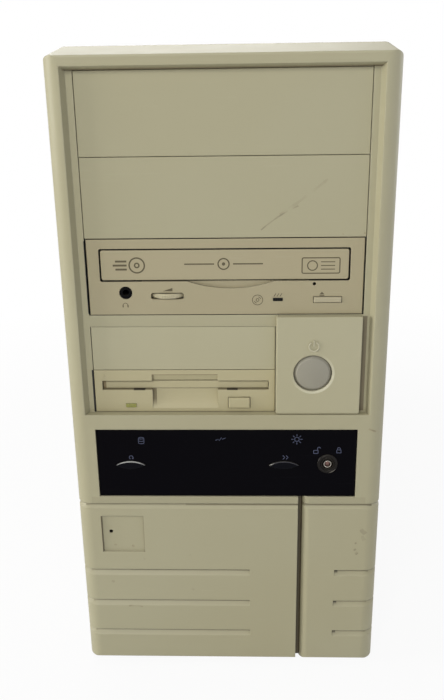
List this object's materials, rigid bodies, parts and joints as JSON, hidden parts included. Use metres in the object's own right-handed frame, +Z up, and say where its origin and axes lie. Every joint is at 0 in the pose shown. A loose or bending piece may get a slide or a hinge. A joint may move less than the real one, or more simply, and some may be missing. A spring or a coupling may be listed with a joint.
{
  "type": "personal computer",
  "caption": "Beige mini-tower home computer with stepped front moulding, drive bays, disc and diskette drives, display panel with buttons and key lock, sliding cover, and fitted internals",
  "frame": {"origin": "on the ground under the middle of the case, between its feet", "axes": "+X to the user's right when facing the front, +Y from the front to the rear, +Z up; the front faces -Y"},
  "size_m": [0.178, 0.41, 0.3686],
  "materials": {
    "front_plastic": "satin",
    "drive_plastic": "satin",
    "button_grey": "satin",
    "black_gloss": "gloss",
    "black_plastic": "matt",
    "lock_steel": "polished",
    "lamp_lens": "clear",
    "painted_steel": "satin powder coat",
    "bare_steel": "zinc plated",
    "fastener_steel": "zinc plated",
    "circuit_board": "solder mask",
    "socket_black": "matt",
    "heatsink_metal": "anodised",
    "disk_casting": "cast",
    "foot_rubber": "matt",
    "wiring": "insulation",
    "speaker_paper": "matt"
  },
  "bodies": {
    "case": {"bay_blank_lower": "front_plastic", "bay_blank_upper": "front_plastic", "board_standoffs": "fastener_steel", "cd_drive_case": "bare_steel", "cd_faceplate": "drive_plastic", "chassis_frame": "bare_steel", "cpu_fan_frame": "black_plastic", "cpu_heatsink": "heatsink_metal", "disk_ribbon": "wiring", "display_board": "circuit_board", "display_panel": "black_gloss", "drive_lamps": "lamp_lens", "drive_screws": "fastener_steel", "expansion_slots": "socket_black", "feet": "foot_rubber", "floppy_drive_case": "bare_steel", "floppy_faceplate": "drive_plastic", "floppy_ribbon": "wiring", "front_bezel": "front_plastic", "hard_disk": "disk_casting", "headphone_jack": "socket_black", "indicator_leds": "lamp_lens", "io_card": "circuit_board", "key_lock_barrel": "lock_steel", "keyboard_socket": "socket_black", "memory_modules": "circuit_board", "motherboard": "circuit_board", "power_switch": "black_plastic", "psu_case": "bare_steel", "psu_fan_frame": "black_plastic", "psu_fan_guard": "lock_steel", "psu_inlet": "socket_black", "psu_outlet": "socket_black", "rear_panel": "bare_steel", "slot_covers": "bare_steel", "small_bay_blank": "front_plastic", "small_drive_cage": "bare_steel", "sound_card": "circuit_board", "speaker": "speaker_paper", "supply_leads": "wiring", "switch_panel": "front_plastic", "video_card": "circuit_board", "wide_drive_cage": "bare_steel"},
    "cover": {"outer_cover": "painted_steel", "cover_screws": "fastener_steel"},
    "disc_tray": {"cd_tray": "black_plastic", "cd_tray_front": "drive_plastic"},
    "disc_eject": {"cd_eject_button": "drive_plastic"},
    "volume": {"cd_volume_wheel": "drive_plastic"},
    "disc_spindle": {"cd_spindle": "black_plastic"},
    "slot_flap": {"floppy_flap": "drive_plastic"},
    "diskette_eject": {"floppy_eject_button": "drive_plastic"},
    "power": {"power_button": "button_grey"},
    "reset": {"reset_button": "black_gloss"},
    "turbo": {"turbo_button": "black_gloss"},
    "lock": {"key_lock_cylinder": "lock_steel"},
    "supply_fan": {"psu_fan": "black_plastic"},
    "processor_fan": {"cpu_fan": "black_plastic"},
    "selector": {"voltage_selector": "front_plastic"}
  },
  "joints": [
    {"name": "cover_slide", "type": "slide", "parent": "case", "child": "cover", "axis": [0, 1, 0], "range_m": [0, 0.38]},
    {"name": "tray_slide", "type": "slide", "parent": "case", "child": "disc_tray", "axis": [0, -1, 0], "range_m": [0, 0.13]},
    {"name": "disc_eject_press", "type": "slide", "parent": "case", "child": "disc_eject", "axis": [0, 1, 0], "range_m": [0, 0.0015], "stiffness_N_per_m": 400, "springref_m": -0.001},
    {"name": "volume_turn", "type": "hinge", "parent": "case", "child": "volume", "pos_m": [-0.0314, -0.1908, 0.2408], "axis": [0, 0, 1], "range_deg": [-140, 140]},
    {"name": "spindle_turn", "type": "hinge", "parent": "case", "child": "disc_spindle", "pos_m": [-0.00035, -0.1353, 0.2395], "axis": [0, 0, 1], "continuous": true},
    {"name": "flap_swing", "type": "hinge", "parent": "case", "child": "slot_flap", "pos_m": [-0.02325, -0.1971, 0.18995], "axis": [1, 0, 0], "range_deg": [0, 75], "stiffness_Nm_per_rad": 0.002, "springref_deg": -22.92},
    {"name": "diskette_eject_press", "type": "slide", "parent": "case", "child": "diskette_eject", "axis": [0, 1, 0], "range_m": [0, 0.005], "stiffness_N_per_m": 400, "springref_m": -0.001},
    {"name": "power_press", "type": "slide", "parent": "case", "child": "power", "axis": [0, 1, 0], "range_m": [0, 0.004], "stiffness_N_per_m": 600, "springref_m": -0.001},
    {"name": "reset_press", "type": "slide", "parent": "case", "child": "reset", "axis": [0, 1, 0], "range_m": [0, 0.0015], "stiffness_N_per_m": 400, "springref_m": -0.001},
    {"name": "turbo_press", "type": "slide", "parent": "case", "child": "turbo", "axis": [0, 1, 0], "range_m": [0, 0.0015], "stiffness_N_per_m": 400, "springref_m": -0.001},
    {"name": "lock_turn", "type": "hinge", "parent": "case", "child": "lock", "pos_m": [0.0574, -0.193, 0.1414], "axis": [0, 1, 0], "range_deg": [0, 90]},
    {"name": "supply_fan_turn", "type": "hinge", "parent": "case", "child": "supply_fan", "pos_m": [-0.03, 0.186, 0.3178], "axis": [0, 1, 0], "continuous": true},
    {"name": "processor_fan_turn", "type": "hinge", "parent": "case", "child": "processor_fan", "pos_m": [0.052, -0.018, 0.074], "axis": [1, 0, 0], "continuous": true},
    {"name": "selector_slide", "type": "slide", "parent": "case", "child": "selector", "axis": [0, 0, 1], "range_m": [0, 0.004]}
  ]
}
